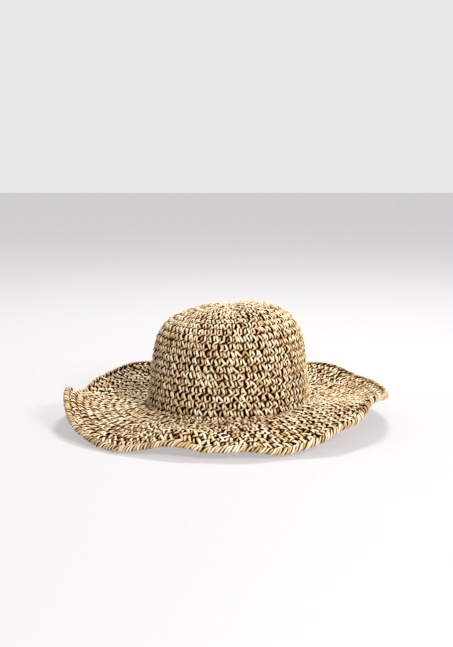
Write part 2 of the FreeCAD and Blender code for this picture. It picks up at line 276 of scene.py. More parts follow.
class Sheet:
    """Middle surface of the crocheted fabric. A place on it is an azimuth in turns and a round."""

    def __init__(self):
        self.edge_radius, self.edge_height = edge_centres()
        crowns = crown_profiles()
        brims = brim_profiles(self.edge_radius, self.edge_height)
        for i, brim in enumerate(brims):
            brims[i] = self.from_crown_base(crowns[i][-1], brim)
        crown_length = np.mean([length_of(c) for c in crowns])
        brim_length = np.mean([length_of(b) for b in brims])
        self.crown_rounds = round(crown_length / (ROUND * MM))
        self.brim_rounds = round(brim_length / (BRIM_ROUND * MM))
        self.rounds = self.crown_rounds + self.brim_rounds
        lines = []
        for crown, brim in zip(crowns, brims):
            upper = resample(crown, self.crown_rounds * PER_ROUND + 1)
            lower = resample(brim, self.brim_rounds * PER_ROUND + 1)
            lines.append(np.concatenate([upper, lower[1:]]))
        lines = smooth_round(np.array(lines), 2)
        turn = np.arange(AZIMUTHS) * TURN / AZIMUTHS
        radius, height = lines[..., 0], lines[..., 1]
        self.grid = on_circle(radius, turn[:, None], height)
        along = np.roll(self.grid, -1, 0) - np.roll(self.grid, 1, 0)
        across = np.gradient(self.grid, axis=1)
        normal = np.cross(across, along)
        size = np.linalg.norm(normal, axis=-1, keepdims=True)
        self.normals = np.where(size > 1e-12, normal / np.maximum(size, 1e-12), [0.0, 0.0, 1.0])
        self.normals[:, 0] = [0.0, 0.0, 1.0]

    @staticmethod
    def from_crown_base(base, brim):
        """The brim's line carried round the tight turn below the crown wall and cut short of the cord."""
        first = brim[0]
        corner = np.array([base[0] + 1.0 * MM, first[1] - 1.0 * MM])
        turn = [
            base * (1 - t) ** 2 + corner * 2 * t * (1 - t) + first * t * t
            for t in np.linspace(0.0, 1.0, 9)
        ]
        line = np.concatenate([turn, brim[1:]])
        keep = 1.0 - CORD_ROOM * MM / length_of(line)
        return resample(line, 200)[: int(200 * keep)]

    def at(self, turns, rounds):
        """Points and normals at arrays of places."""
        column = (np.asarray(turns) % 1.0) * AZIMUTHS
        row = np.asarray(rounds) * PER_ROUND
        row_low = np.clip(np.floor(row).astype(int), 0, self.grid.shape[1] - 2)
        column_low = np.floor(column).astype(int) % AZIMUTHS
        a = (column - np.floor(column))[..., None]
        b = (row - row_low)[..., None]
        column_high = (column_low + 1) % AZIMUTHS

        def mix(grid, share):
            rows = (row_low, row_low + 1)
            low, high = (grid[column_low, r] * (1 - a) + grid[column_high, r] * a for r in rows)
            return low * (1 - share) + high * share

        return mix(self.grid, b), unit(mix(self.normals, np.clip(b, 0.0, 1.0)))

    def steps_round(self, number):
        """Lengths between neighbouring azimuths along the middle of a round."""
        ring = self.grid[:, int((number - 0.5) * PER_ROUND)]
        return np.linalg.norm(np.roll(ring, -1, 0) - ring, axis=1)


# ---- Building yarn -----------------------------------------------------------------------------
def unit(vectors, least=0.0):
    return vectors / (np.linalg.norm(vectors, axis=-1, keepdims=True) + least)


def placed(name, data):
    """A new object in the scene."""
    made = bpy.data.objects.new(name, data)
    bpy.context.scene.collection.objects.link(made)
    return made


def on_circle(radius, angle, height):
    """Points round the Z axis."""
    x, y, z = np.broadcast_arrays(radius * np.cos(angle), radius * np.sin(angle), height)
    return np.stack([x, y, z], -1)


def spline(points, count):
    """Smooth path through a few points (Catmull-Rom), with count places along it."""
    p = np.array(points, float)
    p = np.concatenate([[2 * p[0] - p[1]], p, [2 * p[-1] - p[-2]]])
    place = np.linspace(0.0, len(points) - 1.0, count)
    low = np.minimum(place.astype(int), len(points) - 2)
    t = (place - low)[:, None]
    a, b, c, d = p[low], p[low + 1], p[low + 2], p[low + 3]
    return 0.5 * (2 * b + (c - a) * t + (2 * a - 5 * b + 4 * c - d) * t**2 + (3 * b - a - 3 * c + d) * t**3)


class Yarn:
    """Collects strands of yarn and makes one mesh of them."""

    def __init__(self):
        self.vertices, self.fibres, self.tones, self.painted_shades = [], [], [], []
        self.quads, self.caps = [], []
        self.count = 0

    def add(self, centres, facing, width, thickness, sides, tone, lift=1.6, twist=0.0):
        """Strands of equal point count, flattened across the facing direction.

        centres and facing are (strands, points, 3); width and thickness are half sizes in metres,
        (strands, points); tone is one number, or one for each strand. lift is how far, in millimetres,
        the strand's middle is from the middle of the fabric on the facing side.
        """
        strands, points = centres.shape[:2]
        forward = unit(np.gradient(centres, axis=1), 1e-12)
        side = unit(np.cross(facing, forward), 1e-12)
        up = np.cross(forward, side)
        angle = np.arange(sides) * TURN / sides
        roll = np.broadcast_to(np.asarray(twist, float), (strands, points))[..., None, None]
        flat = width[..., None, None] * np.cos(angle)[:, None]
        high = thickness[..., None, None] * np.sin(angle)[:, None]
        across = flat * np.cos(roll) - high * np.sin(roll)
        above = flat * np.sin(roll) + high * np.cos(roll)
        ring = centres[:, :, None] + side[:, :, None] * across + up[:, :, None] * above
        step = np.linalg.norm(np.diff(centres, axis=1), axis=-1)
        along = np.concatenate([np.zeros((strands, 1)), np.cumsum(step, 1)], 1)
        start = rng.uniform(0.0, 40.0, (strands, 1, 1, 3))
        fibre = np.empty(ring.shape)
        fibre[..., 0] = width.mean() / MM * np.cos(angle)
        fibre[..., 1] = thickness.mean() / MM * np.sin(angle)
        fibre[..., 2] = along[..., None] / MM
        self.vertices.append(ring.reshape(-1, 3))
        self.fibres.append((fibre + start).reshape(-1, 3))
        shape = (strands, points, sides)
        self.tones.append(np.broadcast_to(np.reshape(tone, (-1, 1, 1)), shape).reshape(-1))
        # painted shade for the materials, from how far each place stands out of the fabric
        self.painted_shades.append(self.painted_shade(lift, above, width, thickness, shape).reshape(-1))
        here = self.count + np.arange(strands * points * sides).reshape(shape)
        there = np.roll(here, -1, 2)
        self.quads.append(
            np.stack([here[:, :-1], there[:, :-1], there[:, 1:], here[:, 1:]], -1).reshape(-1, 4)
        )
        self.caps += [here[:, 0, ::-1], here[:, -1]]
        self.count += strands * points * sides

    @staticmethod
    def painted_shade(lift, above, width, thickness, shape):
        """Painted shade: 1 for places that face into the fabric or lie deep in it, 0 for those on its two
        faces.
        """
        rise = above / np.maximum(width, thickness)[..., None, None]
        height = (np.broadcast_to(lift, shape[:2])[..., None, None] + above / MM)[..., 0]
        outward = np.clip(0.5 + 1.4 * rise, 0.0, 1.0)[..., 0]
        exposed = (2.0 * outward - 1.0) * height
        share = np.clip((exposed - BURIED) / LIT_OVER, 0.0, 1.0)
        return 1.0 - share * share * (3.0 - 2.0 * share)

    def build(self, name, material):
        """The mesh object, linked to the scene."""
        faces = self.quads + self.caps
        loops = np.concatenate([part.reshape(-1) for part in faces])
        sizes = np.concatenate([np.full(len(part), part.shape[1]) for part in faces])
        mesh = bpy.data.meshes.new(name)
        mesh.vertices.add(self.count)
        mesh.vertices.foreach_set("co", np.concatenate(self.vertices).reshape(-1))
        mesh.loops.add(len(loops))
        mesh.loops.foreach_set("vertex_index", loops.astype(np.int32))
        mesh.polygons.add(len(sizes))
        starts = np.cumsum(sizes) - sizes
        mesh.polygons.foreach_set("loop_start", starts.astype(np.int32))
        mesh.polygons.foreach_set("use_smooth", np.ones(len(sizes), bool))
        mesh.update(calc_edges=True)
        self.attribute(mesh, "fibre", "FLOAT_VECTOR", "vector", self.fibres)
        self.attribute(mesh, "tone", "FLOAT", "value", self.tones)
        self.attribute(mesh, "painted_shade", "FLOAT", "value", self.painted_shades)
        mesh.materials.append(material)
        return placed(name, mesh)

    @staticmethod
    def attribute(mesh, name, kind, field, parts):
        layer = mesh.attributes.new(name, kind, "POINT")
        layer.data.foreach_set(field, np.concatenate(parts).astype(np.float32).reshape(-1))


class Round:
    """One round of stitches: how many, and where their tops are."""

    def __init__(self, sheet, number, before):
        self.number = number
        steps = sheet.steps_round(number)
        self.share = np.concatenate([[0.0], np.cumsum(steps)]) / steps.sum()
        self.on_brim = number > sheet.crown_rounds
        narrowing = TOP_STITCH + (1.0 - TOP_STITCH) * number / sheet.crown_rounds
        stitch = BRIM_STITCH if self.on_brim else STITCH * narrowing
        length = float(steps.sum())
        wanted = max(6, round(length / (stitch * MM)))
        if before and abs(wanted - before.count) <= 2 and number > TIP_ROUNDS:
            wanted = before.count
        self.count = max(wanted, before.count) if before else wanted
        self.yarn_share = min(1.1, length / self.count / (STITCH * MM)) ** 0.8
        self.phase = before.phase * self.count / before.count + LEAN if before else 0.0
        self.tops = (np.arange(self.count) + self.phase) / self.count
        self.holes = self.tops
        if before:
            own = self.tops - LEAN / self.count
            parent = (np.round(own * before.count - before.phase) + before.phase) / before.count
            self.holes = parent + HOLE_PULL * (own - parent)

    def azimuth(self, share):
        """Azimuth in turns at shares of the way round, which may run past one turn."""
        whole = np.floor(share)
        return np.interp(share - whole, self.share, np.linspace(0.0, 1.0, AZIMUTHS + 1)) + whole


def strand_paths(sheet, turn, chosen, template, count, sunk):
    """Centre lines, outward directions and heights of one strand of each chosen stitch of a round."""
    path = spline(template, count)
    across, up, off = path[:, 0], path[:, 1], path[:, 2]
    strands = len(chosen)
    slant, bow, shift = (rng.normal(0.0, spread, (strands, 1)) for spread in (0.20, 0.07, 0.06))
    across = across + slant * (up - 0.5) + bow * np.sin(np.pi * np.clip(up, 0.0, 1.0)) + shift
    up = up + rng.normal(0.0, 0.05, (strands, 1))
    off = off * rng.normal(sunk, 0.12, (strands, 1)) + rng.normal(0.0, 0.25, (strands, 1))
    hole, top = turn.holes[chosen][:, None], turn.tops[chosen][:, None]
    blend = np.clip(up, 0.0, 1.0)
    middle = hole + (top - hole) * blend
    azimuth = turn.azimuth(middle + across / turn.count)
    points, normals = sheet.at(azimuth, np.maximum(turn.number - 1 + up, 0.02))
    return points + normals * off[..., None] * MM, normals, off


def tapered(strands, count, size, spread, ends):
    """Half sizes along strands: uneven from strand to strand, and drawn in towards both ends."""
    place = np.linspace(0.0, 1.0, count)
    swell = ends + (1.0 - ends) * np.sin(np.pi * np.clip(place, 0.02, 0.98)) ** 0.6
    wobble = 1.0 + 0.07 * np.sin(place * 9.0 + rng.uniform(0, TURN, (strands, 1)))
    return size * MM * swell * wobble * rng.normal(1.0, spread, (strands, 1))


def add_round(yarn, sheet, turn, chosen):
    """The strands of the chosen stitches of one round."""
    strands = len(chosen)
    stitch_tone = rng.normal(STITCH_TONE, TONE_SPREAD, strands)
    for template, count, sides, width, thickness in STITCH_PLAN:
        sunk = SUNK if turn.on_brim and template is WEAK_LEG else 1.0
        points, normals, off = strand_paths(sheet, turn, chosen, template, count, sunk)
        wide = tapered(strands, count, width * turn.yarn_share, 0.10, 0.48)
        thick = tapered(strands, count, thickness, 0.08, 0.6)
        turned = np.linspace(-0.5, 0.5, count) * rng.normal(0.0, 0.5, (strands, 1))
        twist = rng.normal(0.0, 0.22, (strands, 1)) + turned
        tone = stitch_tone + rng.normal(0.0, TONE_SPREAD, strands)
        yarn.add(points, normals, wide, thick, sides, tone, off, twist)


# ---- Materials ---------------------------------------------------------------------------------
class Nodes:
    """Shorthand for building a material's node tree."""

    def __init__(self, name):
        self.material = bpy.data.materials.new(name)
        self.material.use_nodes = True
        self.tree = self.material.node_tree
        self.tree.nodes.clear()
        self.surface = self.new("ShaderNodeBsdfPrincipled")
        output = self.new("ShaderNodeOutputMaterial")
        self.join(self.surface.outputs["BSDF"], output.inputs["Surface"])

    def new(self, kind, **settings):
        node = self.tree.nodes.new(kind)
        for key, value in settings.items():
            setattr(node, key, value)
        return node

    def join(self, source, target):
        self.tree.links.new(source, target)

    def feed(self, target, value):
        """Puts a number, a colour or another node's output into an input."""
        if isinstance(value, bpy.types.NodeSocket):
            self.join(value, target)
        else:
            target.default_value = value

    def set(self, **values):
        for key, value in values.items():
            self.feed(self.surface.inputs[key.replace("_", " ")], value)

    def fed(self, kind, output, inputs, **settings):
        """One output of a new node with some inputs filled."""
        node = self.new(kind, **settings)
        for key, value in inputs.items():
            self.feed(node.inputs[key], value)
        return node.outputs[output]

    def attribute(self, name, output="Vector"):
        return self.new("ShaderNodeAttribute", attribute_name=name).outputs[output]

    def maths(self, operation, a, b=0.0, clamp=False):
        return self.fed("ShaderNodeMath", 0, {0: a, 1: b}, operation=operation, use_clamp=clamp)

    def weighted(self, *terms):
        """Sum of outputs, each times its own weight."""
        total = self.maths("MULTIPLY", *terms[0])
        for term in terms[1:]:
            total = self.maths("ADD", total, self.maths("MULTIPLY", *term))
        return total

    def scaled(self, vector, scale):
        return self.fed("ShaderNodeVectorMath", 0, {0: vector, 1: scale}, operation="MULTIPLY")

    def noise(self, vector, scale, detail, rough):
        inputs = {"Vector": vector, "Scale": scale, "Detail": detail, "Roughness": rough}
        return self.fed("ShaderNodeTexNoise", "Fac", inputs)

    def ramp(self, factor, stops):
        node = self.new("ShaderNodeValToRGB")
        self.feed(node.inputs["Fac"], factor)
        ramp = node.color_ramp
        while len(ramp.elements) < len(stops):
            ramp.elements.new(0.5)
        for element, (position, colour) in zip(ramp.elements, stops):
            element.position = position
            element.color = (*colour, 1.0)
        return node.outputs["Color"]

    def mixed(self, factor, a, b, how="MIX"):
        inputs = {"Factor": factor, "A": a, "B": b}
        return self.fed("ShaderNodeMix", "Result", inputs, data_type="RGBA", blend_type=how)

    def bump(self, height, strength, distance):
        inputs = {"Height": height, "Strength": strength, "Distance": distance}
        return self.fed("ShaderNodeBump", "Normal", inputs)

    def wave(self, vector, direction):
        """0 to 1 and back once for each whole number along the direction."""
        inputs = {"Vector": vector, "Scale": math.pi / 10.0}
        return self.fed("ShaderNodeTexWave", "Fac", inputs, wave_type="BANDS", bands_direction=direction)

    def turned(self, vector, angle, scale):
        inputs = {"Vector": vector, "Rotation": (0.0, 0.0, angle), "Scale": (scale, scale, scale)}
        return self.fed("ShaderNodeMapping", "Vector", inputs)

    def place(self):
        return self.new("ShaderNodeTexCoord").outputs["Object"]


def linear(*display):
    """Scene colour of a display colour given in 0 to 255."""
    shares = [value / 255.0 for value in display]
    return tuple(c / 12.92 if c <= 0.04045 else ((c + 0.055) / 1.055) ** 2.4 for c in shares)


def shades(colour, darker, lighter=1.0):
    """A display colour's darker and lighter shades, as scene colours."""
    base = linear(*colour)
    return tuple(c * darker for c in base), tuple(min(1.0, c * lighter) for c in base)


def straw_material(name, brightness=1.0):
    """Twisted paper straw: strands of different tones, with creases and fibres along the yarn, and painted
    shade where the yarn faces into the fabric or lies deep in it.
    """
    n = Nodes(name)
    fibre = n.attribute("fibre")
    long_streaks = n.noise(n.scaled(fibre, (1.0, 1.0, 0.12)), 1.7, 4.0, 0.62)
    fine_fibres = n.noise(n.scaled(fibre, (1.0, 1.0, 0.05)), 6.0, 3.0, 0.6)
    patches = n.noise(n.place(), 30.0, 3.0, 0.5)
    tone = n.attribute("tone", "Fac")
    mixed = n.weighted((tone, 0.7), (long_streaks, 0.95), (patches, 0.35), (fine_fibres, 0.5))
    factor = n.maths("MULTIPLY", n.maths("SUBTRACT", mixed, 0.655), 1.35, clamp=True)
    tones = [
        (0.0, linear(120, 79, 38)),
        (0.3, linear(177, 137, 85)),
        (0.55, linear(212, 179, 129)),
        (0.8, linear(239, 216, 174)),
        (1.0, linear(253, 243, 218)),
    ]
    colour = n.ramp(factor, [(p, tuple(min(1.0, c * brightness) for c in rgb)) for p, rgb in tones])
    # Painted shade: the straw is darkened towards deep brown, and its gloss taken away, where the yarn faces
    # into the fabric or lies deep in it.
    painted_shade = n.attribute("painted_shade", "Fac")
    painted_hollow_shade = [
        (0.0, (1.0, 1.0, 1.0)),
        (0.28, (0.77, 0.65, 0.50)),
        (0.56, (0.25, 0.145, 0.062)),
        (0.85, (0.05, 0.018, 0.005)),
        (1.0, (0.02, 0.007, 0.002)),
    ]
    shade = n.ramp(painted_shade, painted_hollow_shade)
    gloss = n.maths("MULTIPLY", n.maths("SUBTRACT", 1.0, painted_shade), 0.4)
    n.set(Base_Color=n.mixed(1.0, colour, shade, "MULTIPLY"), Specular_IOR_Level=gloss)
    n.set(Roughness=n.maths("ADD", n.maths("MULTIPLY", fine_fibres, 0.3), 0.36))
    creases = n.weighted((long_streaks, 0.9), (fine_fibres, 0.35))
    n.set(Normal=n.bump(creases, 0.8, 0.9 * MM))
    return n.material


def woven_material(name, colour, pitch, twill):
    """Woven cloth whose threads run along the two directions of the cloth attribute, in millimetres."""
    n = Nodes(name)
    cloth = n.attribute("cloth")
    warp = n.wave(n.scaled(cloth, (1.0 / pitch, 0.0, 0.0)), "X")
    weft = n.wave(n.scaled(cloth, (0.0, 1.0 / pitch, 0.0)), "Y")
    lines = n.wave(n.turned(cloth, math.radians(38.0), 1.0 / (pitch * 2.4)), "X")
    weave = n.weighted((n.weighted((warp, 0.5), (weft, 0.5)), 1.0 - twill), (lines, twill))
    patches = n.noise(n.place(), 60.0, 4.0, 0.6)
    threads = n.noise(n.scaled(cloth, (0.4, 3.0, 1.0)), 1.2, 3.0, 0.6)
    worn = n.weighted((patches, 0.6), (threads, 0.4))
    dark, light = shades(colour, 0.62, 1.12)
    base = n.ramp(n.weighted((weave, 0.5), (worn, 0.5)), [(0.2, dark), (0.75, light)])
    n.set(Base_Color=base, Roughness=0.88, Specular_IOR_Level=0.2, Sheen_Weight=0.15)
    height = n.maths("ADD", weave, n.maths("MULTIPLY", threads, 0.4))
    n.set(Normal=n.bump(height, 0.5, 0.4 * MM))
    return n.material


def thread_material(name, colour, roughness=0.6):
    """Twisted thread or cord, with fibres along it and painted shade in the hollows between its plies."""
    n = Nodes(name)
    fibre = n.attribute("fibre")
    strands = n.noise(n.scaled(fibre, (3.0, 3.0, 0.6)), 3.0, 3.0, 0.6)
    dark, light = shades(colour, 0.6, 1.1)
    base = n.ramp(strands, [(0.3, dark), (0.65, light)])
    # Painted shade: the thread is darkened where it faces into the cord or lies deep in it.
    shade = n.ramp(n.attribute("painted_shade", "Fac"), [(0.2, (1.0, 1.0, 1.0)), (1.0, (0.3, 0.24, 0.18))])
    n.set(Base_Color=n.mixed(1.0, base, shade, "MULTIPLY"), Roughness=roughness, Sheen_Weight=0.2)
    n.set(Normal=n.bump(strands, 0.5, 0.2 * MM))
    return n.material


def moulded_material(name, colour, roughness=0.42):
    """Matt moulded plastic with a fine spark-eroded skin and faint flow marks."""
    n = Nodes(name)
    grain = n.noise(n.place(), 5200.0, 3.0, 0.6)
    flow = n.noise(n.scaled(n.place(), (1.0, 1.0, 3.0)), 160.0, 4.0, 0.6)
    dark, light = shades(colour, 0.82)
    base = n.ramp(flow, [(0.3, dark), (0.7, light)])
    n.set(Base_Color=base, Specular_IOR_Level=0.45)
    n.set(Roughness=n.maths("ADD", n.maths("MULTIPLY", flow, 0.18), roughness - 0.09))
    n.set(Normal=n.bump(grain, 0.25, 0.08 * MM))
    return n.material


def metal_material(name, colour, roughness, scale):
    """Drawn metal with fine scratches along X and a few duller patches."""
    n = Nodes(name)
    scratches = n.noise(n.scaled(n.place(), (0.08, 1.0, 1.0)), scale, 3.0, 0.7)
    dull = n.noise(n.place(), 220.0, 3.0, 0.6)
    dark, light = shades(colour, 0.75)
    base = n.ramp(dull, [(0.3, dark), (0.7, light)])
    n.set(Base_Color=base, Metallic=1.0)
    n.set(Roughness=n.maths("ADD", n.maths("MULTIPLY", scratches, 0.25), roughness))
    n.set(Normal=n.bump(scratches, 0.3, 0.05 * MM))
    return n.material


# ---- The crocheted fabric ----------------------------------------------------------------------
def make_rounds(sheet):
    rounds = []
    for number in range(1, sheet.rounds + 1):
        rounds.append(Round(sheet, number, rounds[-1] if rounds else None))
    return rounds


def fabric_piece(name, sheet, rounds, material, front=None):
    """One object holding some rounds, or only their stitches in front of or behind Y = 0."""
    yarn = Yarn()
    for turn in rounds:
        chosen = np.arange(turn.count)
        if front is not None:
            azimuth = turn.azimuth(turn.tops) % 1.0
            chosen = chosen[(azimuth > 0.5) == front]
        add_round(yarn, sheet, turn, chosen)
    return yarn.build(name, material)


def edge_line(sheet):
    """Azimuths in turns, points and distances of the corded edge's middle line, once round."""
    turn = np.arange(AZIMUTHS + 1) / AZIMUTHS
    radius = np.append(sheet.edge_radius, sheet.edge_radius[0])
    height = np.append(sheet.edge_height, sheet.edge_height[0])
    line = on_circle(radius, turn * TURN, height)
    return turn, line, distances(line)


def along_edge(sheet, place):
    """Points on the corded edge's middle line at some distances, and the ways out from it and up."""
    turn, line, travelled = edge_line(sheet)
    total = travelled[-1]
    wrapped = place % total
    centre = np.stack([np.interp(wrapped, travelled, line[:, k]) for k in range(3)], -1)
    ahead = (place + 1.0 * MM) % total
    forward = np.stack([np.interp(ahead, travelled, line[:, k]) for k in range(3)], -1)
    forward = unit(forward - centre)
    azimuth = np.interp(wrapped, travelled, turn) * TURN
    outward = on_circle(1.0, azimuth, 0.0)
    outward = unit(outward - forward * (outward * forward).sum(-1, keepdims=True))
    return centre, outward, np.cross(outward, forward)


def edge_span(sheet, front):
    """Where the front or the back half of the corded edge starts and ends, as distances."""
    turn, _, travelled = edge_line(sheet)
    half = np.interp(0.5, turn, travelled)
    return (half, travelled[-1]) if front else (0.0, half)


def edging_piece(name, sheet, material, front):
    """Half of the corded edge: slanted stitches of two strands wrapped over the edge, round a core."""
    yarn = Yarn()
    low, high = edge_span(sheet, front)
    knots = round((high - low) / (KNOT_PITCH * MM))
    start = low + (high - low) * (np.arange(knots)[:, None] + 0.5) / knots
    start = start + rng.normal(0.0, 0.6, (knots, 1)) * MM
    knot_tone = rng.normal(0.52, 0.13, knots)
    points = 20
    share = np.linspace(-0.5, 0.5, points)
    for offset, reach, size, radius in KNOT_STRANDS:
        lean = rng.normal(0.0, 2.2, (knots, 1)) * MM
        place = start + offset * MM + share * (reach * MM + lean)
        spin = share * rng.normal(KNOT_WRAP, 0.25, (knots, 1)) + rng.normal(0.25, 0.14, (knots, 1))
        centre, outward, upward = along_edge(sheet, place)
        arm = outward * np.cos(spin)[..., None] + upward * np.sin(spin)[..., None]
        lift = radius * rng.normal(1.0, 0.08, (knots, 1)) * (1.0 - 1.5 * np.abs(share) ** 3)
        width = tapered(knots, points, size, 0.08, 0.7)
        path = centre + arm * lift[..., None] * MM
        tone = knot_tone + rng.normal(0.0, 0.12, knots)
        twist = rng.normal(0.0, 0.2, (knots, 1))
        yarn.add(path, arm, width, width * 0.86, 8, tone, lift - 1.2, twist)
    count = int((high - low) / (4.0 * MM))
    centre, _, upward = along_edge(sheet, np.linspace(low, high - 1e-6, count))
    core = np.full((1, count), 2.1 * MM)
    yarn.add(centre[None], upward[None], core, core, 8, 0.3, -1.0)
    return yarn.build(name, material)


def wire_piece(name, sheet, material, front):
    """Half of the shaping wire inside the corded edge."""
    yarn = Yarn()
    low, high = edge_span(sheet, front)
    count = int((high - low) / (2.5 * MM))
    centre, _, upward = along_edge(sheet, np.linspace(low, high - 1e-6, count))
    radius = np.full((1, count), 0.9 * MM)
    yarn.add(centre[None], upward[None], radius, radius, 12, 0.5)
    return yarn.build(name, material)


# ---- Sweatband, cord and cord lock -------------------------------------------------------------
def cloth_grid(points, cloth, closed_along):
    """Vertices, quads and cloth places of a tube: rows of closed sections, (rows, corners, 3)."""
    rows, corners = points.shape[:2]
    index = np.arange(rows * corners).reshape(rows, corners)
    here = index if closed_along else index[:-1]
    there = np.roll(index, -1, 0) if closed_along else index[1:]
    quads = np.stack([here, there, np.roll(there, -1, 1), np.roll(here, -1, 1)], -1).reshape(-1, 4)
    faces = quads.tolist()
    if not closed_along:
        faces += [index[0].tolist(), index[-1, ::-1].tolist()]
    return points.reshape(-1, 3), faces, cloth.reshape(-1, 3)


def cloth_object(name, parts, material):
    """One mesh of several tubes of cloth, with their places on the cloth in an attribute."""
    vertices, faces, places = [], [], []
    for points, part_faces, cloth in parts:
        base = len(vertices)
        vertices.extend(tuple(p) for p in points)
        faces.extend(tuple(base + i for i in face) for face in part_faces)
        places.append(cloth)
    mesh = bpy.data.meshes.new(name)
    mesh.from_pydata(vertices, [], faces)
    mesh.polygons.foreach_set("use_smooth", np.ones(len(mesh.polygons), bool))
    Yarn.attribute(mesh, "cloth", "FLOAT_VECTOR", "vector", places)
    mesh.materials.append(material)
    return placed(name, mesh)


def swept_ring(section, turns, ripple, closed):
    """A (radius, height) section in millimetres carried round the Z axis, gently uneven."""
    section = np.array(section, float)
    around = turns[:, None] * TURN
    short_waves = np.sin(around * 19.0 + section[None, :, 1] * 0.09)
    wobble = ripple * (np.sin(around * 7.0 + 0.4) + 0.7 * short_waves)
    radius = (section[None, :, 0] + wobble) * MM
    points = on_circle(radius, around, section[None, :, 1] * MM)
    cloth = np.stack(np.broadcast_arrays(around * section[0, 0], distances(section), 0.0), -1)
    return cloth_grid(points, cloth, closed)


def round_corners(corners, size):
    """A closed outline with each corner rounded off."""
    corners = [np.array(c, float) for c in corners]
    outline = []
    for i, corner in enumerate(corners):
        before, after = corners[i - 1], corners[(i + 1) % len(corners)]
        cut = min(size, 0.45 * np.linalg.norm(before - corner), 0.45 * np.linalg.norm(after - corner))
        start = corner + unit(before - corner) * cut
        end = corner + unit(after - corner) * cut
        for t in np.linspace(0.0, 1.0, 4):
            outline.append(start * (1 - t) ** 2 + corner * 2 * t * (1 - t) + end * t * t)
    return outline


def filled(outline, spacing):
    """A closed outline with extra points on its long sides."""
    points = []
    for start, end in zip(outline, outline[1:] + outline[:1]):
        pieces = max(1, int(np.linalg.norm(end - start) / spacing))
        points.extend(start + (end - start) * i / pieces for i in range(pieces))
    return points


def sweatband_piece(material, thread):
    """Cotton band with a turned-out hem below, a cord tunnel above and two rows of topstitching."""
    inner, top = BAND_RADIUS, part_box("sweatband")[1][2] / MM
    turns = np.arange(360) / 360.0
    hem = [(inner, 0.0), (inner + 5.5, 0.0), (inner + 5.5, 2.9), (inner + 1.0, 2.9)]
    wall = round_corners([*hem, (inner + 1.0, top - 2.6), (inner, top - 2.6)], 0.7)
    parts = [swept_ring(filled(wall, 1.6), turns, 0.03, True)]
    gap = math.asin(7.0 / (inner + 1.5)) / TURN
    tunnel_turns = np.linspace(0.25 + gap, 1.25 - gap, 340)
    middle = (inner + 1.5, top - 1.5)
    angles = np.arange(18) * TURN / 18
    outline = np.stack([middle[0] + 1.5 * np.cos(angles), middle[1] + 1.5 * np.sin(angles)], -1)
    parts.append(swept_ring(outline, tunnel_turns, 0.03, False))
    band = cloth_object("sweatband_cloth", parts, material)
    yarn = Yarn()
    stitches = 170
    for height in (4.4, top - 3.6):
        middle_turn = (np.arange(stitches) + 0.5)[:, None] / stitches
        share = np.linspace(-0.42, 0.42, 7)
        around = (middle_turn + share / stitches) * TURN
        radius = (inner - 0.06 + 0.30 * (np.abs(share) / 0.42) ** 3) * MM
        points = on_circle(radius, around, height * MM)
        facing = -on_circle(1.0, around, 0.0)
        size = np.full(around.shape, 0.19 * MM)
        yarn.add(points, facing, size, size, 6, 0.5)
    return band, yarn.build("sweatband_topstitch", thread)


def seam_tape_piece(material):
    """Folded-edge tape over the joint in the band, on the side that faces the crown."""
    low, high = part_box("sweatband_seam_tape")
    inner = BAND_RADIUS + 1.0
    bottom, top = low[2] / MM, high[2] / MM
    outline = round_corners([(inner, bottom), (inner + 0.62, bottom), (inner + 0.62, top), (inner, top)], 0.3)
    half = math.asin(high[0] / MM / inner) / TURN
    turns = np.linspace(0.25 - half, 0.25 + half, 48)
    tape = swept_ring(filled(outline, 0.8), turns, 0.0, False)
    return cloth_object("sweatband_tape_cloth", [tape], material)


def hem_stitch_piece(material):
    """Zigzag thread under the hem, each stitch dipping into the cloth at both ends."""
    low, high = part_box("sweatband_stitching")
    inner = BAND_RADIUS + 0.8
    outer = high[0] / MM - 0.4
    height = (low[2] + high[2]) / 2.0 / MM
    stitches = 120
    number = np.arange(stitches)[:, None]
    share = np.linspace(0.04, 0.96, 11)
    outward = np.where(number % 2 == 0, 1.0 - share, share)
    radius = (inner + (outer - inner) * outward) * MM
    around = (number + share) / stitches * TURN
    dip = (np.abs(share - 0.5) / 0.5) ** 6 * 0.5
    points = on_circle(radius, around, (height + dip) * MM)
    facing = np.broadcast_to([0.0, 0.0, -1.0], points.shape)
    size = np.full(radius.shape, 0.26 * MM)
    yarn = Yarn()
    yarn.add(points, facing, size, size, 7, 0.5)
    return yarn.build("hem_stitching", material)


def cord_path():
    """Middle line of the drawstring: from one tail's end, round the tunnel, to the other tail's end."""
    low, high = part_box("drawstring")
    thick = 0.9 * MM
    radius, height = high[0] - thick, low[2] + thick
    bead_low, bead_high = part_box("cord_stopper")
    tail_y = (bead_low[1] + bead_high[1]) / 2.0
    tail_x, tail_top = 1.2 * MM, high[2]
    exit_turn = math.asin(5.0 * MM / radius)
    leaving = np.array([radius * math.sin(exit_turn), radius * math.cos(exit_turn), height])
    rise = [
        (tail_x, tail_y, tail_top),
        (tail_x, tail_y, 46.0 * MM),
        (tail_x, tail_y + 1.0 * MM, 43.5 * MM),
        (1.5 * MM, radius - 5.0 * MM, height + 6.5 * MM),
        (2.9 * MM, radius - 1.0 * MM, height + 2.0 * MM),
        leaving,
    ]
    straight = np.linspace(rise[0], rise[1], 5)
    rise = spline([*straight, *rise[2:]], 160)
    start = math.atan2(leaving[1], leaving[0])
    around = np.linspace(start, start - (TURN - 2.0 * exit_turn), 700)
    loop = on_circle(radius, around, height)
    mirrored = rise[::-1] * [-1.0, 1.0, 1.0]
    return np.concatenate([rise[:-1], loop, mirrored[1:]])


